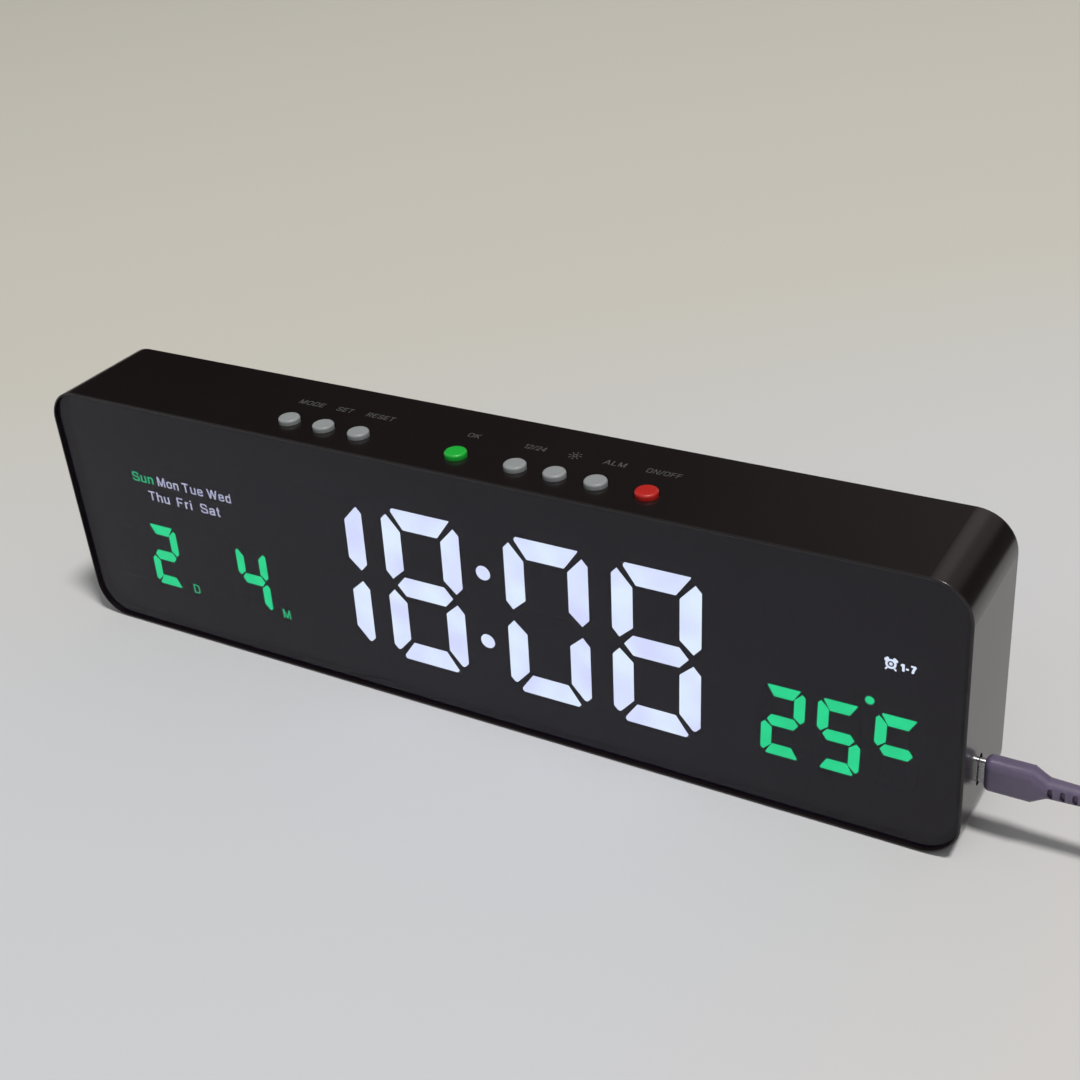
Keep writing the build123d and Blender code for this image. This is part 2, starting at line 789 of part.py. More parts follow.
def coil_place(turned):
    """Point and heading of the coil once it has turned by an angle: in on the lower layer, up in a half turn, out."""
    over = turned - coil_angle_in
    radius = coil_outer_radius - coil_growth * turned
    growth, z, climb = -coil_growth, coil_low, 0
    if 0 < over <= math.pi:
        radius = coil_inner_radius - coil_growth * math.sin(over)
        growth = -coil_growth * math.cos(over)
        z = coil_low + (coil_high - coil_low) * (1 - math.cos(over)) / 2
        climb = (coil_high - coil_low) * math.sin(over) / 2
    elif over > math.pi:
        radius = coil_inner_radius + coil_growth * (over - math.pi)
        growth, z = coil_growth, coil_high
    angle = math.radians(coil_entry_deg) + turned
    outward = Vector(math.cos(angle), math.sin(angle), 0)
    onward = Vector(-math.sin(angle), math.cos(angle), 0)
    point = Vector(coil_centre[0], coil_centre[1], z) + outward * radius
    return point, (onward * radius + outward * growth + Vector(0, 0, climb)).normalized()


spiral_start, entry_heading = coil_place(0)
coil_start = spiral_start - entry_heading * cord_diameter

# The hanging stretch: out of the strain relief, down, and along the table to the coil
relief_end = Vector(relief_end_x, socket_y, socket_z)
cord_route = [relief_end + Vector(*point) for point in cord_points]
cord_route += [coil_start - entry_heading * cord_last_run, coil_start]


def cord_section(origin, heading):
    """Faceted cable section, square to the cable."""
    return Plane(origin, z_dir=heading) * RegularPolygon(cord_diameter / 2, cord_sides)


def make_cord():
    """Tube of straight runs and arcs as large as the runs allow."""
    radii = []
    for before, here, after in zip(cord_route, cord_route[1:], cord_route[2:]):
        turn = math.radians((here - before).get_angle(after - here))
        shorter = min((here - before).length, (after - here).length)
        radii.append(cord_arc_share * shorter / math.tan(turn / 2))
    print("cord radii", [round(radius, 1) for radius in radii])
    path = FilletPolyline(*cord_route, radius=radii)
    section = cord_section(cord_route[0], cord_route[1] - cord_route[0])
    tube = sweep(section, path=path)
    print("cord length", round(path.length, 1), "volume ratio", round(tube.volume / (section.area * path.length), 4))
    return tube


def biarc(start, start_heading, end, end_heading):
    """Two arcs that leave one point and reach another along given headings."""
    chord = end - start
    both = start_heading + end_heading
    spread = 2 * (1 - start_heading.dot(end_heading))
    ahead = chord.dot(both)
    reach = (math.sqrt(ahead * ahead + spread * chord.dot(chord)) - ahead) / spread
    leave = start + start_heading * reach
    arrive = end - end_heading * reach
    middle = (leave + arrive) / 2
    first = Edge.make_tangent_arc(start, start_heading, middle)
    return [first, Edge.make_tangent_arc(middle, arrive - leave, end)]


def coil_stations():
    """Points and headings round the coil, about a quarter turn apart."""
    turns = [coil_angle_in * step / coil_steps for step in range(coil_steps)]
    turns += [coil_angle_in + math.pi * step / coil_climb_steps for step in range(coil_climb_steps)]
    start_out = coil_angle_in + math.pi
    turns += [start_out + coil_angle_out * step / coil_steps for step in range(coil_steps + 1)]
    return [coil_place(turned) for turned in turns]


def coil_edges():
    stations = coil_stations()
    edges = [Edge.make_line(coil_start, stations[0][0])]
    for (start, start_heading), (end, end_heading) in zip(stations, stations[1:]):
        edges += biarc(start, start_heading, end, end_heading)
    last, heading = stations[-1]
    leave = last + heading * tail_straight
    edges.append(Edge.make_line(last, leave))
    end = Vector(far_plug_x, far_plug_y, far_plug_z)
    along = Vector(1, 0, 0)
    arrive = end - along * cord_diameter
    edges += biarc(leave, heading, arrive, along)
    return edges + [Edge.make_line(arrive, end)]


def least_gap(path):
    """Smallest clear space between turns, measured on points along the path."""
    count = int(path.length / gap_sample)
    points = [path.position_at(number / count) for number in range(count + 1)]
    skip = int(math.pi * cord_diameter / gap_sample)
    nearest = min(
        (points[i] - points[j]).length for i in range(0, count, 2) for j in range(i + skip, count + 1)
    )
    return nearest - cord_diameter


def make_coil():
    path = Wire(coil_edges())
    section = cord_section(coil_start, entry_heading)
    tube = sweep(section, path=path)
    print("coil length", round(path.length, 1), "volume ratio", round(tube.volume / (section.area * path.length), 4))
    print("coil least gap", round(least_gap(path), 2))
    return tube


def make_tie():
    """Band round the bundle of turns, at the back of the coil."""
    inner = coil_inner_radius - cord_diameter / 2 - tie_slack
    outer = coil_outer_radius + coil_pitch * (coil_turns_out - coil_turns_in) + cord_diameter / 2 + tie_slack
    low = coil_low - cord_diameter / 2 - floor_gap
    high = coil_high + cord_diameter / 2 + floor_gap
    place = Pos(coil_centre[1] + (inner + outer) / 2, (low + high) / 2)
    bore = RectangleRounded(outer - inner, high - low, tie_corner)
    band = RectangleRounded(outer - inner + 2 * tie_thick, high - low + 2 * tie_thick, tie_corner + tie_thick)
    return along_x(place * (band - bore), coil_centre[0] - tie_width / 2, coil_centre[0] + tie_width / 2)


# Far plug, lying flat on the table beside the coil
far_grip_x = far_plug_x + far_relief_long
far_shell_x = far_grip_x + far_grip_long


def far_section(width, thick, corner):
    return Pos(far_plug_y, far_plug_z) * RectangleRounded(width, thick, corner)


def make_far_grip():
    relief_start = Plane.YZ.offset(far_plug_x) * Pos(far_plug_y, far_plug_z) * Circle(far_relief_end_diameter / 2)
    relief_end = Plane.YZ.offset(far_grip_x) * Pos(far_plug_y, far_plug_z) * Circle(relief_diameter / 2)
    relief = loft([relief_start, relief_end], ruled=True)
    grip = along_x(far_section(far_grip_width, far_grip_thick, far_grip_corner), far_grip_x, far_shell_x)
    return relief + grip


def make_far_shell():
    body = along_x(
        far_section(far_shell_width, far_shell_thick, far_shell_wall), far_shell_x, far_shell_x + far_shell_long
    )
    width = far_shell_width - 2 * far_shell_wall
    thick = far_shell_thick - 2 * far_shell_wall
    bore = Pos(far_plug_y, far_plug_z) * Rectangle(width, thick)
    return body - along_x(bore, far_shell_x, far_shell_x + far_shell_long + cut_overrun)


def make_far_insert():
    width = far_shell_width - 2 * far_shell_wall
    low = far_plug_z - far_shell_thick / 2 + far_shell_wall
    block = Pos(far_plug_y, low + far_insert_thick / 2) * Rectangle(width, far_insert_thick)
    return along_x(block, far_shell_x, far_shell_x + far_shell_long - far_insert_inset)


os.makedirs("parts", exist_ok=True)

groups = light_outlines()
save(make_housing(), "housing")
save(slab(case_outline(rim_width + panel_gap), panel_front, panel_back), "front_panel")
save(make_light_frame(groups), "light_frame")
for node, group in groups.items():
    save(make_diffusers(group, window_setback if node == "legend_windows" else 0), node)

save(make_main_board(), "main_board")
save(make_leds(groups), "segment_leds")
save([chip(share, driver_length, driver_width) for share in driver_shares], "display_drivers")
save(chip(controller_share, controller_size, controller_size), "controller_chip")
save(make_crystal(), "clock_crystal")
save([make_capacitor(share) for share in capacitor_shares], "capacitors")
save(make_buzzer(), "buzzer")
save(make_sensor(), "temperature_sensor")
save([screw(x, z, board_back) for x, z in board_screw_places()], "board_screws")

save(make_key_board(), "key_board")
save([make_switch(x) for x in button_columns], "key_switches")
save([make_key_screw(x) for x in key_post_columns], "key_board_screws")
save(make_ribbon(), "key_ribbon")
save(make_ribbon_socket(), "ribbon_socket")
for name, x in zip(button_names, button_columns):
    save(make_button(x), f"{name}_button")
    save(upright(x, button_y, plunger_diameter, switch_top - plunger_sunk, stem_bottom), f"{name}_plunger")

save(make_rear_cover(), "rear_cover")
save([screw(x, z, cover_front + head_pocket_floor) for x, z in rear_screw_places()], "rear_screws")
save(make_battery_door(), "battery_door")
save(rod(cell_x, cell_z, cell_diameter, cell_front, cell_back), "coin_cell")
save(make_cell_contact(), "cell_contact")
save([make_lead(side) for side in (-1, 1)], "cell_leads")

save(make_socket_shell(), "usb_socket")
save(make_socket_tongue(), "socket_tongue")
save(make_plug_shell(), "plug_shell")
save(make_plug_grip(), "plug_grip")
save(make_cord(), "cord")
save(make_coil(), "cord_coil")
save(make_tie(), "coil_tie")
save(make_far_grip(), "far_plug_grip")
save(make_far_shell(), "far_plug_shell")
save(make_far_insert(), "far_plug_insert")
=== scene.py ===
import math

import bpy
from mathutils import Matrix, Vector


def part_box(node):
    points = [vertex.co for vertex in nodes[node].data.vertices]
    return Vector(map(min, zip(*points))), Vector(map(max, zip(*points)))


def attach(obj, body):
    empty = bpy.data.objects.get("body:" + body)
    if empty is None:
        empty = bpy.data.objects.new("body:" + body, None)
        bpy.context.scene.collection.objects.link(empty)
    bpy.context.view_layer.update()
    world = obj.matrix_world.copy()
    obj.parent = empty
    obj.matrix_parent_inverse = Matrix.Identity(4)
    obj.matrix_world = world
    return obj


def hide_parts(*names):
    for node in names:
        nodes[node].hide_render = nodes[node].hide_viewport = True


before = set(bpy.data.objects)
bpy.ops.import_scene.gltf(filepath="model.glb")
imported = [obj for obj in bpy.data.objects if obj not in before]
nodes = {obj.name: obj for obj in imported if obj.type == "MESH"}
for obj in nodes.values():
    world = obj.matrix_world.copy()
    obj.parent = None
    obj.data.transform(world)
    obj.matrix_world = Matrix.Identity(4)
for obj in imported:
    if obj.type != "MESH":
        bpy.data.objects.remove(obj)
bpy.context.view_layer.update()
mm = 0.001

# The camera's place and axes in the clock's frame
camera_place = (0.24924, -0.35118, 0.30853)
camera_right = (0.86067, 0.50278, -0.08036)
camera_up = (-0.19809, 0.47605, 0.85682)
camera_back = (0.46905, -0.72152, 0.50932)
camera_lens = 53.103
camera_sensor = 36.0
camera_near = 0.01

# The cable's route, in millimetres, and its coil, as in the part's source
cord_diameter = 3.8
hanging_points = ((195.35, -4.6, 21.9), (206.8, -4.6, 21.9), (217.8, -6.3, 17.6), (228.3, -10.8, 9.6))
coil_lead_in = (16.8, 3.8)
coil_lead_out = 8.0
coil_centre = (262.35, 0.0)
coil_outer_radius = 26.6
coil_pitch = 4.2
coil_low = 2.7
coil_entry_deg = -115.0
turns_in = 2.75
turns_out = 2.9
points_per_turn = 16
small_turn = 0.01
far_points = ((290.6, -14.4, 5.0), (296.4, -14.0, 4.0), (301.35, -14.0, 4.0))

# The room round the table: its colour, and how bright it is where it is seen and where it only gives light
room_tone = (1.0, 0.99, 0.97)
room_seen = 0.58
room_light = 0.3

# The table: its tones, the cool one in front of the clock being a painted glow of the display's light, and in metres
# how they change across it and where it runs out into the room
table_in_front_painted_glow = (0.588, 0.595, 0.622)
table_beside = (0.603, 0.588, 0.583)
table_behind = (0.570, 0.553, 0.498)
table_slant = 0.8
table_change = 0.4
table_reach = 4.0
table_fade = (1.4, 2.6)
table_size = 60.0
table_drop = 0.0001

# The card behind the clock: its tone, and in metres its width and how bright it is at places across it
black = (0.0, 0.0, 0.0)
card_tone = (0.97, 0.90, 0.85)
card_width = 5.2
card_shine = (
    (-1.898, 0.0), (-0.702, 0.04), (-0.452, 0.105), (-0.12, 0.135), (-0.078, 0.55),
    (0.4, 0.55), (0.442, 0.28), (0.952, 0.28), (1.05, 0.0),
)


class Shade:
    """A shader socket that takes part in sums as a number does."""

    def __init__(self, finish, socket):
        self.finish = finish
        self.socket = socket

    def work(self, operation, first, second):
        return self.finish.add("ShaderNodeMath", {"operation": operation}, {0: first, 1: second})

    def __add__(self, other):
        return self.work("ADD", self, other)

    def __sub__(self, other):
        return self.work("SUBTRACT", self, other)

    def __rsub__(self, other):
        return self.work("SUBTRACT", other, self)

    def __mul__(self, other):
        return self.work("MULTIPLY", self, other)

    __radd__ = __add__
    __rmul__ = __mul__


class Nodes:
    """A node tree written as plain expressions."""

    def __init__(self, tree):
        self.tree = tree

    def add(self, kind, settings, sockets, output=0):
        """A new node: its settings first, then the values or links of its sockets."""
        node = self.tree.nodes.new(kind)
        for key, value in settings.items():
            if key == "stops":
                ramp = node.color_ramp
                while len(ramp.elements) < len(value):
                    ramp.elements.new(1.0)
                for element, (place, grey) in zip(ramp.elements, value):
                    element.position = place
                    element.color = (grey, grey, grey, 1.0)
            else:
                setattr(node, key, value)
        self.join(node, sockets)
        return Shade(self, node.outputs[output])

    def join(self, node, sockets):
        for key, value in sockets.items():
            if isinstance(value, Shade):
                self.tree.links.new(value.socket, node.inputs[key])
            elif isinstance(value, tuple) and node.inputs[key].type == "RGBA":
                node.inputs[key].default_value = (*value[:3], 1.0)
            else:
                node.inputs[key].default_value = value


class Finish(Nodes):
    """One material round a Principled shader."""

    def __init__(self, name):
        self.material = bpy.data.materials.new(name)
        self.material.use_nodes = True
        super().__init__(self.material.node_tree)
        self.shader = self.tree.nodes["Principled BSDF"]

    def paint(self, **sockets):
        self.join(self.shader, {key.replace("_", " "): value for key, value in sockets.items()})
        return self.material

    def place(self, stretch=(1, 1, 1)):
        """Object coordinates, drawn out along an axis where a stretch is given."""
        here = self.add("ShaderNodeTexCoord", {}, {}, "Object")
        return self.add("ShaderNodeMapping", {}, {"Vector": here, "Scale": tuple(1 / part for part in stretch)})

    def clouds(self, size, detail=2.0, stretch=(1, 1, 1)):
        """Soft noise whose patches are about a size in millimetres across."""
        sockets = {"Vector": self.place(stretch), "Scale": 1 / (size * mm), "Detail": detail}
        return self.add("ShaderNodeTexNoise", {}, sockets)

    def cells(self, size, feature="F1"):
        sockets = {"Vector": self.place(), "Scale": 1 / (size * mm)}
        return self.add("ShaderNodeTexVoronoi", {"feature": feature}, sockets)

    def steps(self, factor, *stops):
        return self.add("ShaderNodeValToRGB", {"stops": stops}, {0: factor})

    def blend(self, factor, first, second):
        return self.add("ShaderNodeMix", {"data_type": "RGBA"}, {0: factor, 6: first, 7: second}, 2)

    def relief(self, height, depth):
        return self.add("ShaderNodeBump", {}, {"Height": height, "Distance": depth * mm})


def looked_at(tree):
    """1 where a surface is seen, directly, in a reflection or through something, and 0 where it only gives light."""
    seen = tree.add("ShaderNodeLightPath", {}, {}, "Is Camera Ray")
    for ray in ("Is Glossy Ray", "Is Transmission Ray"):
        seen = seen.work("MAXIMUM", seen, tree.add("ShaderNodeLightPath", {}, {}, ray))
    return seen


# Finishes
def moulded(name, dark, light, roughness, spread, patch, grain, depth, **plain):
    """Moulded plastic: slow clouding in colour and gloss over a fine tooled grain."""
    finish = Finish(name)
    slow = finish.clouds(patch, 3.0)
    fine = finish.clouds(grain)
    return finish.paint(
        Base_Color=finish.blend(slow, dark, light),
        Roughness=roughness + (slow - 0.5) * spread + (fine - 0.5) * spread,
        Normal=finish.relief(fine, depth),
        **plain,
    )


def glossy_case():
    """Black case plastic: satin gloss over a very fine moulded grain, a little hazier in slow patches."""
    finish = Finish("case_gloss_black")
    grain = finish.clouds(0.5, 3.0)
    haze = finish.clouds(45.0, 2.0)
    return finish.paint(
        Base_Color=finish.blend(haze, (0.0068, 0.0044, 0.0048), (0.0094, 0.0064, 0.0068)),
        Roughness=0.18 + haze * 0.04 + grain * 0.05,
        Normal=finish.relief(grain, 0.0006),
        IOR=1.5,
    )


def textured_cover():
    """Spark-textured black plastic of the rear cover."""
    finish = Finish("cover_textured_black")
    pits = finish.clouds(0.45, 3.0)
    haze = finish.clouds(30.0, 3.0)
    return finish.paint(
        Base_Color=finish.blend(pits, (0.008, 0.008, 0.0085), (0.019, 0.019, 0.0195)),
        Roughness=0.48 + haze * 0.12,
        Normal=finish.relief(pits, 0.035),
    )


def smoked_acrylic():
    """Smoked panel: dark and clear enough for the lit segments, polished, with faint smears."""
    finish = Finish("panel_smoked_acrylic")
    haze = finish.clouds(60.0, 3.0)
    smear = finish.steps(finish.clouds(14.0, 5.0, (3.0, 1.0, 1.0)), (0.52, 0.0), (0.8, 1.0))
    return finish.paint(
        Base_Color=finish.blend(haze, (0.0075, 0.0050, 0.0125), (0.0100, 0.0072, 0.0155)),
        Roughness=0.07 + haze * 0.03 + smear * 0.06,
        Alpha=0.6,
        IOR=1.5,
    )


def lit_diffuser(name, bright, edge, strength, patch):
    """Milky diffuser lit from behind, a little uneven where the light falls away from the diodes."""
    finish = Finish(name)
    spread = finish.steps(finish.clouds(patch, 1.0), (0.32, 0.0), (0.7, 1.0))
    milk = finish.clouds(0.6)
    glow = finish.blend(spread, bright, edge)
    return finish.paint(
        Base_Color=finish.blend(milk, (0.30, 0.31, 0.33), (0.36, 0.37, 0.39)),
        Roughness=0.4 + milk * 0.2,
        Emission_Color=glow,
        Emission_Strength=strength,
    )


def rubber_jacket(name, dark, light, roughness, grain):
    """Soft cable rubber: matt, faintly mottled."""
    finish = Finish(name)
    mottle = finish.clouds(2.2, 4.0)
    fine = finish.clouds(grain)
    return finish.paint(
        Base_Color=finish.blend(mottle, dark, light),
        Roughness=roughness + (mottle - 0.5) * 0.14,
        Normal=finish.relief(fine, 0.006),
        Specular_IOR_Level=0.5,
    )


def plated_steel(name, tone, roughness, drawn):
    """Plated metal with fine drawing lines along the piece."""
    finish = Finish(name)
    lines = finish.clouds(0.12, 3.0, drawn)
    stain = finish.clouds(4.0, 3.0)
    darker = tuple(part * 0.8 for part in tone)
    return finish.paint(
        Base_Color=finish.blend(stain, darker, tone),
        Metallic=1.0,
        Roughness=roughness + lines * 0.14,
        Normal=finish.relief(lines, 0.003),
    )


def circuit_board():
    """Solder mask over glass fibre, with copper tracks showing as a paler green."""
    finish = Finish("board_green_mask")
    tracks = finish.steps(finish.cells(3.2, "DISTANCE_TO_EDGE"), (0.05, 1.0), (0.07, 0.0))
    weave = finish.clouds(0.7)
    return finish.paint(
        Base_Color=finish.blend(tracks, (0.012, 0.09, 0.035), (0.03, 0.17, 0.06)),
        Roughness=0.3 + weave * 0.16,
        Normal=finish.relief(tracks, 0.03),
    )


def looped_strap():
    """Hook-and-loop strap: a dense pile of small loops."""
    finish = Finish("strap_loop_pile")
    loops = finish.cells(0.55)
    pile = finish.clouds(0.9, 4.0)
    return finish.paint(
        Base_Color=finish.blend(loops, (0.032, 0.032, 0.034), (0.008, 0.008, 0.009)),
        Roughness=0.8 + pile * 0.15,
        Normal=finish.relief(loops + pile, 0.14),
        Sheen_Weight=0.4,
        Sheen_Roughness=0.5,
    )


def printed_ink():
    """Thin grey print on the top of the case, worn a little patchy."""
    finish = Finish("label_print_grey")
    worn = finish.clouds(0.7, 3.0)
    return finish.paint(
        Base_Color=finish.blend(worn, (0.045, 0.044, 0.043), (0.085, 0.084, 0.082)),
        Roughness=0.45 + worn * 0.2,
    )


def table_top():
    """Pale table, cool in front of the clock with a painted glow of the display's light and warm beside and behind
    it, that runs out into the room's tone.
    """
    finish = Finish("table_pale_grey_painted_glow")
    right = finish.add("ShaderNodeSeparateXYZ", {}, {"Vector": finish.place()}, "X")
    back = finish.add("ShaderNodeSeparateXYZ", {}, {"Vector": finish.place()}, "Y")
    behind = finish.steps((back - right * table_slant) * (1 / table_change), (0.05, 0.0), (1.0, 1.0))
    beside = finish.steps(right, (0.1, 0.0), (0.2, 1.0))
    # The cool tone in front of the clock is painted light: a painted glow of the display on the table.
    near = finish.blend(beside, table_in_front_painted_glow, table_beside)
    fine = finish.clouds(1.6, 3.0)
    finish.paint(
        Base_Color=finish.blend(behind, near, table_behind),
        Roughness=0.8 + fine * 0.1,
        Specular_IOR_Level=0.0,
    )
    reach = finish.add("ShaderNodeVectorMath", {"operation": "LENGTH"}, {0: finish.place()}, "Value")
    fades, gone = (distance / table_reach for distance in table_fade)
    far = finish.steps(reach * (1 / table_reach), (fades, 0.0), (gone, 1.0)) * looked_at(finish)
    room = finish.add("ShaderNodeEmission", {}, {"Color": room_tone, "Strength": room_seen})
    table = Shade(finish, finish.shader.outputs[0])
    surface = finish.add("ShaderNodeMixShader", {}, {0: far, 1: table, 2: room})
    finish.join(finish.tree.nodes["Material Output"], {"Surface": surface})
    return finish.material


def reflector_card():
    """Warm studio card that the case mirrors: dark on the left, a bright strip, a grey strip and dark again."""
    finish = Finish("card_graded")
    across = finish.add("ShaderNodeSeparateXYZ", {}, {"Vector": finish.place()}, "X")
    stops = [(place / card_width + 0.5, shine) for place, shine in card_shine]
    shine = finish.steps(across * (1 / card_width) + 0.5, *stops)
    tone = finish.blend(shine, black, card_tone)
    return finish.paint(Base_Color=black, Specular_IOR_Level=0.0, Emission_Color=tone, Emission_Strength=1.0)


case_finish = glossy_case()
cover_finish = textured_cover()

# Moulded plastics: dark and light tone, roughness and its spread, and patch, grain and grain depth in millimetres
frame_finish = moulded("frame_matt_black", (0.002,) * 3, (0.003,) * 3, 0.85, 0.1, 20.0, 0.6, 0.002)
# The border is print, and also painted shade for the dark inside of the case behind it.
border_print_and_painted_shade = moulded("border_print_black_and_painted_shade", (0.002,) * 3, (0.003,) * 3, 0.8, 0.1, 25.0, 1.5, 0.002)
# The unlit segments and legend windows are near black: painted shade of the dark inside of the case, on diffusers as
# milky as the lit ones.
unlit = moulded("segments_unlit_painted_shade", (0.002,) * 3, (0.003,) * 3, 0.85, 0.1, 20.0, 0.6, 0.002)
key_grey = moulded("keys_grey", (0.24, 0.255, 0.26), (0.29, 0.305, 0.31), 0.42, 0.1, 3.0, 0.35, 0.012)
key_green = moulded("key_green", (0.004, 0.36, 0.028), (0.008, 0.43, 0.040), 0.4, 0.1, 3.0, 0.35, 0.012)
key_red = moulded("key_red", (0.40, 0.008, 0.005), (0.48, 0.014, 0.009), 0.4, 0.1, 3.0, 0.35, 0.012)
chip_black = moulded("chip_black", (0.012,) * 3, (0.022,) * 3, 0.55, 0.15, 2.0, 0.25, 0.02)
diode_white = moulded("diode_white", (0.62, 0.62, 0.57), (0.74, 0.74, 0.70), 0.3, 0.1, 1.0, 0.3, 0.005)
switch_black = moulded("switch_black", (0.018,) * 3, (0.028,) * 3, 0.5, 0.12, 2.0, 0.3, 0.01)
white_plastic = moulded("insulator_white", (0.60, 0.60, 0.57), (0.70, 0.70, 0.67), 0.4, 0.1, 2.0, 0.4, 0.006)

# Diffusers: bright and dim tone, strength, and patch in millimetres
white_lit = lit_diffuser("segments_lit_white", (0.75, 0.87, 1.0), (0.66, 0.71, 1.0), 5.9, 13.0)
green_lit = lit_diffuser("segments_lit_green", (0.004, 1.0, 0.39), (0.003, 0.87, 0.33), 4.1, 8.0)
word_white = lit_diffuser("words_lit_white", (0.72, 0.75, 1.0), (0.56, 0.58, 0.86), 3.5, 3.0)
word_green = lit_diffuser("words_lit_green", (0.006, 0.82, 0.34), (0.005, 0.66, 0.26), 3.3, 3.0)

# Rubber and metal: tone, roughness, and grain or drawing lines
lead_red = rubber_jacket("lead_red", (0.36, 0.02, 0.02), (0.46, 0.03, 0.03), 0.4, 0.3)
plug_violet = rubber_jacket("plug_violet_grey", (0.100, 0.080, 0.138), (0.130, 0.104, 0.174), 0.35, 0.35)
cable_violet = rubber_jacket("cable_violet_grey", (0.106, 0.085, 0.148), (0.138, 0.110, 0.186), 0.42, 0.5)
steel = plated_steel("plated_steel", (0.72, 0.72, 0.74), 0.2, (8.0, 1.0, 1.0))
gold = plated_steel("plated_gold", (0.83, 0.60, 0.25), 0.22, (8.0, 1.0, 1.0))
board_green = circuit_board()

keys = ("mode", "set", "reset", "ok", "hour_format", "brightness", "alarm", "power")
key_finishes = {"ok": key_green, "power": key_red}
finishes = {
    "housing": case_finish,
    "front_panel": smoked_acrylic(),
    "light_frame": frame_finish,
    "rear_cover": cover_finish,
    "battery_door": cover_finish,
    "hour_tens_segments": white_lit,
    "hour_units_segments": white_lit,
    "minute_tens_segments": white_lit,
    "minute_units_segments": white_lit,
    "colon_dots": white_lit,
    "day_segments": green_lit,
    "month_segments": green_lit,
    "temperature_segments": green_lit,
    "unlit_segments": unlit,
    "legend_windows": unlit,
    "main_board": board_green,
    "key_board": board_green,
    "segment_leds": diode_white,
    "display_drivers": chip_black,
    "controller_chip": chip_black,
    "buzzer": chip_black,
    "temperature_sensor": chip_black,
    "socket_tongue": chip_black,
    "clock_crystal": steel,
    "capacitors": steel,
    "board_screws": steel,
    "key_board_screws": steel,
    "rear_screws": steel,
    "coin_cell": steel,
    "cell_contact": steel,
    "usb_socket": steel,
    "plug_shell": steel,
    "far_plug_shell": steel,
    "key_switches": switch_black,
    "key_ribbon": white_plastic,
    "ribbon_socket": white_plastic,
    "far_plug_insert": white_plastic,
    "cell_leads": lead_red,
    "plug_grip": plug_violet,
    "far_plug_grip": plug_violet,
}
for key in keys:
    finishes[f"{key}_button"] = key_finishes.get(key, key_grey)
    finishes[f"{key}_plunger"] = switch_black


def dress(piece, finish):
    piece.data.materials.clear()
    piece.data.materials.append(finish)


for node, finish in finishes.items():
    dress(nodes[node], finish)


# Modelling helpers
def fresh():
    """Leave edit mode and deselect everything."""
    if bpy.context.object and bpy.context.object.mode != "OBJECT":
        bpy.ops.object.mode_set(mode="OBJECT")
    bpy.ops.object.select_all(action="DESELECT")


def settle(piece, name, body, finish):
    """Give a finished piece its name, finish and body."""
    piece.name = name
    piece.data.name = name
    dress(piece, finish)
    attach(piece, body)
    return piece


def placed(name, data):
    """A new object in the scene."""
    made = bpy.data.objects.new(name, data)
    bpy.context.scene.collection.objects.link(made)
    return made


def round_curve(name, radius, sides):
    """Empty curve whose lines are round in section and closed at their ends."""
    curve = bpy.data.curves.new(name, "CURVE")
    curve.dimensions = "3D"
    curve.bevel_depth = radius
    curve.bevel_resolution = sides
    curve.use_fill_caps = True
    return curve


def smooth_line(curve, points, steps):
    """One NURBS line of a curve, from its control points."""
    spline = curve.splines.new("NURBS")
    spline.points.add(len(points) - 1)
    for place, point in zip(spline.points, points):
        place.co = (*point, 1.0)
    spline.order_u = min(3, len(points))
    spline.use_endpoint_u = True
    spline.resolution_u = steps


def joined(pieces):
    """One object from several."""
    fresh()
    for piece in pieces:
        piece.select_set(True)
    bpy.context.view_layer.objects.active = pieces[0]
    if len(pieces) > 1:
        bpy.ops.object.join()
    return bpy.context.object


def thickened(piece, thick):
    """Give a flat outline its thickness, towards its own +Z."""
    modifier = piece.modifiers.new("thickness", "SOLIDIFY")
    modifier.thickness = thick
    modifier.offset = 1.0
    bpy.context.view_layer.objects.active = piece
    bpy.ops.object.modifier_apply(modifier=modifier.name)
    return piece


def fitted(piece, box, thick):
    """Fit a drawing in X and Y between left, right, low and high, in millimetres."""
    left, right, low, high = box
    xs = [vertex.co.x for vertex in piece.data.vertices]
    ys = [vertex.co.y for vertex in piece.data.vertices]
    zs = [vertex.co.z for vertex in piece.data.vertices]
    wide = (right - left) / (max(xs) - min(xs))
    tall = (high - low) / (max(ys) - min(ys))
    deep = thick / (max(zs) - min(zs))
    shift = Matrix.Translation((left - min(xs) * wide, low - min(ys) * tall, -min(zs) * deep))
    piece.data.transform(shift @ Matrix.Diagonal((wide, tall, deep, 1.0)))
    return piece


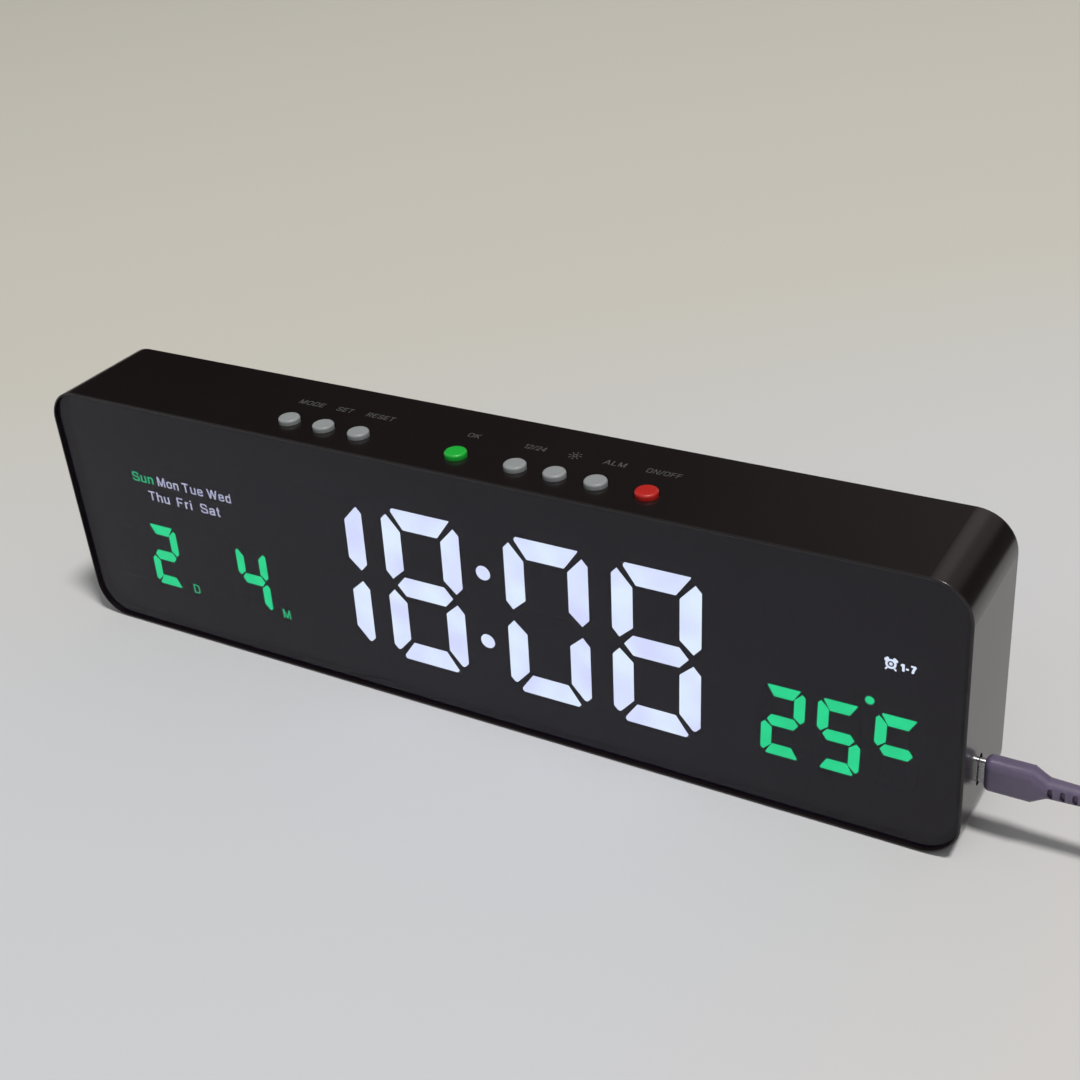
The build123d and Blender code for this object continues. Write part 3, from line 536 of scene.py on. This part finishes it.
# Letters in strokes on a unit of capital height: each letter's width, and the control points of its strokes
letter_gap = 0.15
stem = [(0.09, 0), (0.09, 1)]
short_stem = [(0.08, 0.74), (0.08, 0)]
arch = [(0.08, 0.4), (0.09, 0.67), (0.28, 0.67), (0.47, 0.67), (0.47, 0.48), (0.47, 0)]
letters = {
    "A": (0.70, [[(0.03, 0), (0.35, 1)], [(0.35, 1), (0.67, 0)], [(0.14, 0.32), (0.56, 0.32)]]),
    "D": (0.72, [stem,
                 [(0.09, 0.92), (0.4, 0.92), (0.64, 0.9), (0.64, 0.5), (0.64, 0.1), (0.4, 0.08), (0.09, 0.08)]]),
    "E": (0.66, [stem, [(0.09, 0.92), (0.62, 0.92)], [(0.09, 0.5), (0.57, 0.5)], [(0.09, 0.08), (0.64, 0.08)]]),
    "F": (0.62, [stem, [(0.09, 0.92), (0.6, 0.92)], [(0.09, 0.5), (0.52, 0.5)]]),
    "K": (0.68, [stem, [(0.62, 1), (0.1, 0.4)], [(0.28, 0.58), (0.66, 0)]]),
    "L": (0.58, [stem, [(0.09, 0.08), (0.57, 0.08)]]),
    "M": (0.84, [stem, [(0.12, 0.97), (0.42, 0.04)], [(0.72, 0.97), (0.42, 0.04)], [(0.75, 0), (0.75, 1)]]),
    "N": (0.73, [stem, [(0.11, 0.97), (0.62, 0.03)], [(0.64, 0), (0.64, 1)]]),
    "O": (0.78, [[(0.39, 0.92), (0.08, 0.92), (0.08, 0.5), (0.08, 0.08), (0.39, 0.08)],
                 [(0.39, 0.92), (0.7, 0.92), (0.7, 0.5), (0.7, 0.08), (0.39, 0.08)]]),
    "R": (0.70, [stem, [(0.36, 0.48), (0.64, 0)],
                 [(0.09, 0.92), (0.42, 0.92), (0.63, 0.91), (0.63, 0.7), (0.63, 0.48), (0.42, 0.48), (0.09, 0.48)]]),
    "S": (0.66, [[(0.58, 0.7), (0.57, 0.92), (0.33, 0.92), (0.08, 0.92), (0.08, 0.7), (0.09, 0.54), (0.34, 0.5),
                  (0.6, 0.45), (0.6, 0.27), (0.6, 0.08), (0.33, 0.08), (0.07, 0.08), (0.06, 0.3)]]),
    "T": (0.66, [[(0.02, 0.92), (0.64, 0.92)], [(0.33, 0.95), (0.33, 0)]]),
    "W": (0.98, [[(0.05, 1), (0.26, 0.02)], [(0.26, 0.02), (0.49, 0.98)], [(0.49, 0.98), (0.72, 0.02)],
                 [(0.72, 0.02), (0.93, 1)]]),
    "a": (0.55, [[(0.09, 0.53), (0.1, 0.67), (0.28, 0.67), (0.46, 0.67), (0.46, 0.46), (0.46, 0)],
                 [(0.46, 0.41), (0.28, 0.39), (0.07, 0.37), (0.07, 0.21), (0.07, 0.06), (0.25, 0.07), (0.45, 0.09),
                  (0.46, 0.3)]]),
    "d": (0.56, [[(0.48, 1), (0.48, 0)], [(0.48, 0.37), (0.47, 0.67), (0.27, 0.67), (0.07, 0.66), (0.07, 0.37),
                                          (0.07, 0.08), (0.27, 0.07), (0.47, 0.07), (0.48, 0.37)]]),
    "e": (0.56, [[(0.07, 0.39), (0.49, 0.39)], [(0.49, 0.39), (0.49, 0.67), (0.28, 0.67), (0.07, 0.67), (0.07, 0.37),
                                                (0.07, 0.07), (0.3, 0.07), (0.46, 0.07), (0.5, 0.22)]]),
    "h": (0.55, [[(0.08, 1), (0.08, 0)], arch]),
    "i": (0.17, [[(0.085, 0.74), (0.085, 0)], [(0.085, 1), (0.085, 0.86)]]),
    "n": (0.55, [short_stem, arch]),
    "o": (0.56, [[(0.28, 0.67), (0.07, 0.67), (0.07, 0.37), (0.07, 0.07), (0.28, 0.07)],
                 [(0.28, 0.67), (0.49, 0.67), (0.49, 0.37), (0.49, 0.07), (0.28, 0.07)]]),
    "r": (0.34, [short_stem, [(0.08, 0.38), (0.09, 0.67), (0.34, 0.66)]]),
    "t": (0.30, [[(0.14, 0.95), (0.14, 0.22), (0.14, 0.06), (0.3, 0.08)], [(0.01, 0.67), (0.29, 0.67)]]),
    "u": (0.55, [[(0.08, 0.74), (0.08, 0.26), (0.08, 0.07), (0.27, 0.07), (0.46, 0.07), (0.47, 0.34)],
                 [(0.47, 0.74), (0.47, 0)]]),
    "1": (0.40, [[(0.32, 1), (0.32, 0)], [(0.06, 0.74), (0.24, 0.82), (0.32, 1)]]),
    "2": (0.60, [[(0.07, 0.68), (0.07, 0.92), (0.3, 0.92), (0.54, 0.92), (0.54, 0.7), (0.54, 0.5), (0.1, 0.26),
                  (0.07, 0.08)], [(0.04, 0.08), (0.57, 0.08)]]),
    "4": (0.62, [[(0.44, 1), (0.44, 0)], [(0.42, 0.97), (0.06, 0.3)], [(0.03, 0.27), (0.6, 0.27)]]),
    "7": (0.58, [[(0.04, 0.92), (0.56, 0.92)], [(0.53, 0.92), (0.28, 0.55), (0.22, 0)]]),
    "-": (0.34, [[(0.02, 0.38), (0.32, 0.38)]]),
    "/": (0.32, [[(0.02, 0), (0.3, 1)]]),
}


def word(text, box, thick, weight):
    """One word as thin strokes of one weight, a share of the capitals' height."""
    fresh()
    curve = round_curve(text, weight / 2, 2)
    start = 0.0
    for letter in text:
        width, strokes = letters[letter]
        for stroke in strokes:
            smooth_line(curve, [(start + x, y, 0.0) for x, y in stroke], 4)
        start += width + letter_gap
    made = placed(text, curve)
    made.select_set(True)
    bpy.context.view_layer.objects.active = made
    bpy.ops.object.convert(target="MESH")
    return fitted(bpy.context.object, box, thick)


disc_sides = 36
bar_chamfer_share = 0.25


def disc(x, y, radius, thick, hole=0.0):
    """Round plate, or a ring where it has a hole."""
    fresh()
    bpy.ops.mesh.primitive_circle_add(vertices=disc_sides, radius=radius, fill_type="NGON")
    made = bpy.context.object
    if hole:
        bpy.ops.object.mode_set(mode="EDIT")
        bpy.ops.mesh.select_all(action="SELECT")
        bpy.ops.mesh.inset(thickness=radius - hole)
        bpy.ops.mesh.delete(type="FACE")
        bpy.ops.object.mode_set(mode="OBJECT")
    made.data.transform(Matrix.Translation((x, y, 0)))
    return thickened(made, thick)


def bar(x, y, long, wide, angle, thick):
    """Short straight stroke with chamfered ends."""
    fresh()
    bpy.ops.mesh.primitive_plane_add(size=1.0)
    made = bpy.context.object
    made.data.transform(Matrix.Diagonal((long, wide, 1.0, 1.0)))
    bpy.ops.object.mode_set(mode="EDIT")
    bpy.ops.mesh.select_all(action="SELECT")
    bpy.ops.mesh.bevel(offset=wide * bar_chamfer_share, segments=2, affect="VERTICES")
    bpy.ops.object.mode_set(mode="OBJECT")
    made.data.transform(Matrix.Translation((x, y, 0)) @ Matrix.Rotation(angle, 4, "Z"))
    return thickened(made, thick)


# Black border printed round the window, on the back of the panel, which is also painted shade hiding the dark inside
# of the case round the window, in millimetres
border_play = 0.6
border_corner = 10.5
border_width = 9.0
border_pick = 8.0
border_more_at_top = 4.5
border_thick = 0.05
border_behind = 0.08


def make_border():
    """Flat ring with round corners, wider along the top."""
    low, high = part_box("front_panel")
    size = high - low
    fresh()
    bpy.ops.mesh.primitive_plane_add(size=1.0)
    border = bpy.context.object
    border.data.transform(Matrix.Diagonal((size.x - border_play * mm, size.z - border_play * mm, 1.0, 1.0)))
    bpy.ops.object.mode_set(mode="EDIT")
    bpy.ops.mesh.select_all(action="SELECT")
    bpy.ops.mesh.bevel(offset=border_corner * mm, segments=10, affect="VERTICES")
    bpy.ops.mesh.select_all(action="SELECT")
    bpy.ops.mesh.inset(thickness=border_width * mm)
    bpy.ops.mesh.delete(type="FACE")
    bpy.ops.mesh.select_mode(type="VERT")
    bpy.ops.object.mode_set(mode="OBJECT")
    reach_x, reach_y = size.x / 2 - border_pick * mm, size.z / 2 - border_pick * mm
    for vertex in border.data.vertices:
        vertex.select = abs(vertex.co.x) < reach_x and 0 < vertex.co.y < reach_y
    bpy.ops.object.mode_set(mode="EDIT")
    bpy.ops.transform.translate(value=(0, -border_more_at_top * mm, 0))
    bpy.ops.object.mode_set(mode="OBJECT")
    thickened(border, border_thick * mm)
    place = Matrix.Translation(((low.x + high.x) / 2, high.y + border_behind * mm, (low.z + high.z) / 2))
    border.data.transform(place @ Matrix.Rotation(math.pi / 2, 4, "X"))
    return border


settle(make_border(), "panel_border", "case", border_print_and_painted_shade)

# Lit words and signs behind the panel, in millimetres
ink_thick = 0.06
lit_weight = 0.155
lit_sunk = 0.02
window_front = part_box("legend_windows")[0].y
facing = Matrix.Translation((0, window_front + lit_sunk * mm, 0)) @ Matrix.Rotation(math.pi / 2, 4, "X")


def behind_panel(pieces, name, finish):
    """Stand a flat drawing on the front of the windows."""
    made = joined(pieces)
    made.data.transform(facing @ Matrix.Scale(mm, 4))
    return settle(made, name, "case", finish)


def lit_words(*places):
    """Words between their left and right ends, each on its row."""
    return [word(text, (left, right, *row), ink_thick, lit_weight) for text, left, right, row in places]


upper_row = (58.1, 61.7)
lower_row = (51.5, 55.2)
mark_row = (16.4, 20.0)
weekdays = lit_words(
    ("Mon", -121.3, -111.8, upper_row),
    ("Tue", -110.0, -100.9, upper_row),
    ("Wed", -99.1, -88.7, upper_row),
    ("Thu", -126.8, -117.5, lower_row),
    ("Fri", -114.1, -107.4, lower_row),
    ("Sat", -103.6, -95.0, lower_row),
)
behind_panel(weekdays, "weekday_names", word_white)
today = lit_words(("Sun", -132.7, -123.2, upper_row))
behind_panel(today, "weekday_today", word_green)
date_marks = lit_words(("D", -115.2, -112.4, mark_row), ("M", -75.2, -72.0, mark_row))
behind_panel(date_marks, "date_marks", word_green)

# The alarm sign: its ring's radius and hole, its hub, and for a bell and a foot the place, size and lean
alarm_place = (137.9, 58.2)
alarm_ring = (1.55, 0.92)
alarm_hub = 0.5
alarm_bell = (1.25, 1.42, 1.5, 0.85, 42.0)
alarm_foot = (1.25, -1.6, 0.9, 0.5, 50.0)
alarm_days = (140.5, 145.0, 56.7, 59.2)
alarm_days_weight = 0.26


def alarm_sign(x, z):
    """Small alarm clock: face ring, hub, two bells and two feet, with the days it rings on."""
    radius, hole = alarm_ring
    parts = [disc(x, z, radius, ink_thick, hole), disc(x, z, alarm_hub, ink_thick)]
    for side in (-1, 1):
        for across, up, long, wide, lean in (alarm_bell, alarm_foot):
            parts.append(bar(x + side * across, z + up, long, wide, -side * math.radians(lean), ink_thick))
    return parts + [word("1-7", alarm_days, ink_thick, alarm_days_weight)]


behind_panel(alarm_sign(*alarm_place), "alarm_sign", white_lit)

# Printed labels on the top, each behind its button: text, place and width in millimetres
print_thick = 0.05
print_weight = 0.14
print_sunk = 0.02
top_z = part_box("housing")[1].z / mm
label_y = 4.4
label_half = 1.35
label_words = (
    ("MODE", -64.2, 9.8),
    ("SET", -51.1, 6.0),
    ("RESET", -37.2, 10.4),
    ("OK", -2.0, 4.4),
    ("12/24", 19.6, 7.4),
    ("ALM", 46.5, 7.2),
    ("ON/OFF", 62.4, 11.0),
)
sun_x = 33.2
sun_ring = (0.85, 0.45)
sun_rays = 8
sun_ray_reach = 1.75
sun_ray_size = (1.0, 0.34)


def printed(text, x, width):
    """One label, centred on a place along the top."""
    box = (x - width / 2, x + width / 2, label_y - label_half, label_y + label_half)
    return word(text, box, print_thick, print_weight)


def sun_sign(x, y):
    """Ring with rays."""
    radius, hole = sun_ring
    parts = [disc(x, y, radius, print_thick, hole)]
    for turn in range(sun_rays):
        angle = 2 * math.pi * turn / sun_rays
        ray_x, ray_y = x + sun_ray_reach * math.cos(angle), y + sun_ray_reach * math.sin(angle)
        parts.append(bar(ray_x, ray_y, *sun_ray_size, angle, print_thick))
    return parts


key_labels = joined([printed(*label) for label in label_words] + sun_sign(sun_x, label_y))
key_labels.data.transform(Matrix.Scale(mm, 4) @ Matrix.Translation((0, 0, top_z - print_sunk)))
settle(key_labels, "key_labels", "case", printed_ink())


# Cable: one smooth line through the hanging stretch, the coil and the tail
def coil_point(turned):
    """Place on the coil: in on the lower layer, up in a half turn, out on the upper layer."""
    growth = coil_pitch / (2 * math.pi)
    angle_in = 2 * math.pi * turns_in
    inner = coil_outer_radius - growth * angle_in
    over = turned - angle_in
    if over <= 0:
        radius, rise = coil_outer_radius - growth * turned, 0.0
    elif over <= math.pi:
        radius, rise = inner - growth * math.sin(over), coil_pitch * (1 - math.cos(over)) / 2
    else:
        radius, rise = inner + growth * (over - math.pi), coil_pitch
    angle = math.radians(coil_entry_deg) + turned
    across = Vector((math.cos(angle), math.sin(angle), 0.0)) * radius
    return Vector((*coil_centre, coil_low + rise)) + across


def cable_line():
    """Control points of the whole cable, in millimetres."""
    turns = turns_in + 0.5 + turns_out
    whole = 2 * math.pi * turns
    count = round(turns * points_per_turn)
    coil = [coil_point(whole * number / count) for number in range(count + 1)]
    entry = (coil_point(small_turn) - coil[0]).normalized()
    leave = (coil[-1] - coil_point(whole - small_turn)).normalized()
    points = [Vector(point) for point in hanging_points]
    points += [coil[0] - entry * before for before in coil_lead_in] + coil
    points.append(coil[-1] + leave * coil_lead_out)
    return points + [Vector(point) for point in far_points]


fresh()
cable_curve = round_curve("cable", cord_diameter / 2 * mm, 5)
smooth_line(cable_curve, [point * mm for point in cable_line()], 5)
cable = settle(placed("cable", cable_curve), "cable", "cable", cable_violet)
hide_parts("cord", "cord_coil")


# Strap round the coil, in millimetres, and its overlapping end as shares of the band
strap_wall = 0.6
strap_round = 2.6
strap_edge = 0.15
tail_wide_share = 0.96
tail_long_share = 0.62
tail_curl_share = 0.35
tail_curl = 4.0
tail_gap = 0.02


def make_strap():
    """Band shaped from a box, with an overlapping end lying on its top."""
    low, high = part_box("coil_tie")
    size = high - low
    fresh()
    bpy.ops.mesh.primitive_cube_add(size=1.0)
    band = bpy.context.object
    band.data.transform(Matrix.Translation((low + high) / 2) @ Matrix.Diagonal((*size, 1.0)))
    bpy.ops.object.mode_set(mode="EDIT")
    bpy.ops.mesh.select_mode(type="FACE")
    bpy.ops.mesh.select_all(action="DESELECT")
    bpy.ops.object.mode_set(mode="OBJECT")
    for face in band.data.polygons:
        face.select = abs(face.normal.x) > 0.9
    bpy.ops.object.mode_set(mode="EDIT")
    bpy.ops.mesh.delete(type="FACE")
    bpy.ops.mesh.select_mode(type="EDGE")
    bpy.ops.object.mode_set(mode="OBJECT")
    for edge in band.data.edges:
        first, second = (band.data.vertices[number].co for number in edge.vertices)
        edge.select = abs(first.x - second.x) > size.x / 2
    bpy.ops.object.mode_set(mode="EDIT")
    bpy.ops.mesh.bevel(offset=strap_round * mm, segments=6)
    bpy.ops.object.mode_set(mode="OBJECT")
    modifier = band.modifiers.new("wall", "SOLIDIFY")
    modifier.thickness = strap_wall * mm
    modifier.offset = -1.0
    bpy.ops.object.modifier_apply(modifier=modifier.name)
    fresh()
    bpy.ops.mesh.primitive_grid_add(x_subdivisions=2, y_subdivisions=12, size=1.0)
    tail = bpy.context.object
    long = size.y * tail_long_share
    tail.data.transform(Matrix.Diagonal((size.x * tail_wide_share, long, 1.0, 1.0)))
    middle = Vector(((low.x + high.x) / 2, high.y - strap_round * mm - long / 2, high.z + tail_gap * mm))
    for vertex in tail.data.vertices:
        loose = max(0.0, tail_curl_share - vertex.co.y / long - 0.5)
        vertex.co += middle
        vertex.co.z += tail_curl * mm * loose ** 2
    tail = thickened(tail, strap_wall * mm)
    strap = joined([band, tail])
    modifier = strap.modifiers.new("edges", "BEVEL")
    modifier.width = strap_edge * mm
    modifier.segments = 2
    bpy.ops.object.modifier_apply(modifier=modifier.name)
    bpy.ops.object.shade_smooth_by_angle(angle=math.radians(35))
    return strap


strap = settle(make_strap(), "coil_strap", "cable", looped_strap())
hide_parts("coil_tie")


# Contact strips on the far plug's insert, in millimetres
contact_columns = (-3.5, -1.2, 1.2, 3.5)
contact_size = (9.0, 1.1, 0.14)
contact_rise = 0.05
contact_edge = 0.04


def make_contacts():
    """Four strips side by side, with softened edges."""
    low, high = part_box("far_plug_insert")
    strips = []
    for column in contact_columns:
        fresh()
        bpy.ops.mesh.primitive_cube_add(size=1.0)
        strip = bpy.context.object
        middle = Vector(((low.x + high.x) / 2, (low.y + high.y) / 2 + column * mm, high.z + contact_rise * mm))
        size = Matrix.Diagonal((*(part * mm for part in contact_size), 1.0))
        strip.data.transform(Matrix.Translation(middle) @ size)
        modifier = strip.modifiers.new("edges", "BEVEL")
        modifier.width = contact_edge * mm
        modifier.segments = 2
        bpy.ops.object.modifier_apply(modifier=modifier.name)
        strips.append(strip)
    return joined(strips)


contacts = settle(make_contacts(), "far_plug_contacts", "cable", gold)


# Table, light and camera
def lamp(name, place, aim, size, power, tint):
    """Round soft lamp, turned towards what it lights."""
    light = bpy.data.lights.new(name, "AREA")
    light.shape = "DISK"
    light.size = size
    light.energy = power
    light.color = tint
    made = placed(name, light)
    made.location = place
    made.rotation_euler = (Vector(aim) - Vector(place)).to_track_quat("-Z", "Y").to_euler()


def flag(name, low, high, y, finish):
    """Upright studio card that only reflections see, between two corners in X and Z."""
    fresh()
    bpy.ops.mesh.primitive_plane_add(size=1.0)
    card = bpy.context.object
    card.name = name
    middle = ((low[0] + high[0]) / 2, y, (low[1] + high[1]) / 2)
    size = Matrix.Diagonal((high[0] - low[0], high[1] - low[1], 1.0, 1.0))
    card.data.transform(Matrix.Translation(middle) @ Matrix.Rotation(math.pi / 2, 4, "X") @ size)
    dress(card, finish)
    card.visible_camera = False
    card.visible_diffuse = False
    card.visible_shadow = False


fresh()
bpy.ops.mesh.primitive_plane_add(size=table_size)
table = bpy.context.object
table.name = "table"
table.data.transform(Matrix.Translation((0, 0, -table_drop)))
dress(table, table_top())
half_card = card_width / 2
flag("card_behind", low=(-half_card, 0.02), high=(half_card, 2.4), y=1.5, finish=reflector_card())
flag("flag_right", low=(0.3, 0.0), high=(0.9, 0.2), y=0.36, finish=frame_finish)
flag("flag_front", low=(-3.0, 0.35), high=(3.0, 3.2), y=-1.6, finish=frame_finish)
lamp("overhead", place=(1.5, -0.8, 5.0), aim=(0.0, 0.0, 0.0), size=0.84, power=204.0, tint=(1.0, 0.985, 0.96))
lamp("front_fill", place=(0.0, -1.6, 1.4), aim=(0.0, -0.3, 0.0), size=1.2, power=3.2, tint=(0.85, 0.93, 1.0))

world = bpy.data.worlds.new("room")
bpy.context.scene.world = world
world.use_nodes = True
room = Nodes(world.node_tree)
backdrop = {"Color": room_tone, "Strength": room_light + looked_at(room) * (room_seen - room_light)}
room.join(world.node_tree.nodes["Background"], backdrop)

fresh()
bpy.ops.object.camera_add()
camera = bpy.context.object
axes = Matrix((camera_right, camera_up, camera_back)).transposed().to_4x4()
camera.matrix_world = Matrix.Translation(camera_place) @ axes
camera.data.lens = camera_lens
camera.data.sensor_width = camera_sensor
camera.data.clip_start = camera_near
bpy.context.scene.camera = camera
bpy.context.scene.view_settings.view_transform = "Standard"
